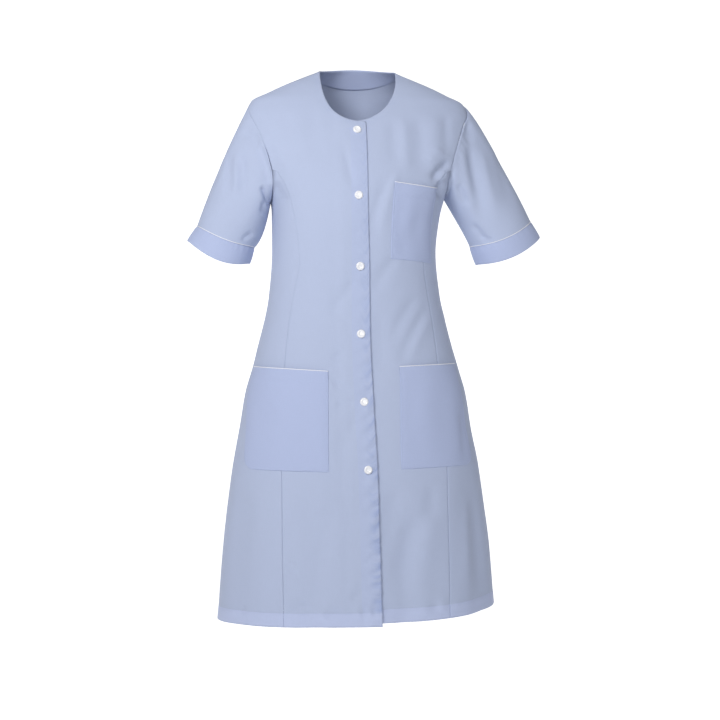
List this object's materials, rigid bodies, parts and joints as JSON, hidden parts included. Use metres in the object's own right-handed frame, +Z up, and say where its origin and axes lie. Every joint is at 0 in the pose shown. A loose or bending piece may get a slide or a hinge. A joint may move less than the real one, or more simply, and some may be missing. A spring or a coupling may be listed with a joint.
{
  "type": "work blouse",
  "caption": "Short-sleeved knee-length work blouse, open and hollow as worn, with snap front, patch pockets, piped cuffs and princess seams.",
  "frame": {"origin": "middle of the neck opening, level with the inner ends of the shoulder seams, where a wearer's neck and shoulders carry the garment", "axes": "+Z up along the wearer's spine, -Y out of the front, +X towards the wearer's left"},
  "size_m": [0.639, 0.3223, 0.9901],
  "materials": {
    "body_cloth": "single layer of plain poly-cotton workwear cloth, matt, light blue",
    "double_cloth": "the same light blue cloth lying double, a little deeper in colour",
    "piping": "white corded piping, matt",
    "snap_cap": "glossy white snap caps with a low raised ring"
  },
  "bodies": {
    "root": {"front_right": "body_cloth", "front_left": "body_cloth", "side_front_right": "body_cloth", "side_front_left": "body_cloth", "back": "body_cloth", "sleeve_right": "body_cloth", "sleeve_left": "body_cloth", "cuff_right": "double_cloth", "cuff_left": "double_cloth", "cuff_piping_right": "piping", "cuff_piping_left": "piping", "chest_pocket": "double_cloth", "chest_pocket_piping": "piping", "hip_pocket_right": "double_cloth", "hip_pocket_right_piping": "piping", "hip_pocket_left": "double_cloth", "hip_pocket_left_piping": "piping", "back_neck_facing": "double_cloth", "snap_1": "snap_cap", "snap_2": "snap_cap", "snap_3": "snap_cap", "snap_4": "snap_cap", "snap_5": "snap_cap", "snap_6": "snap_cap"}
  },
  "joints": []
}
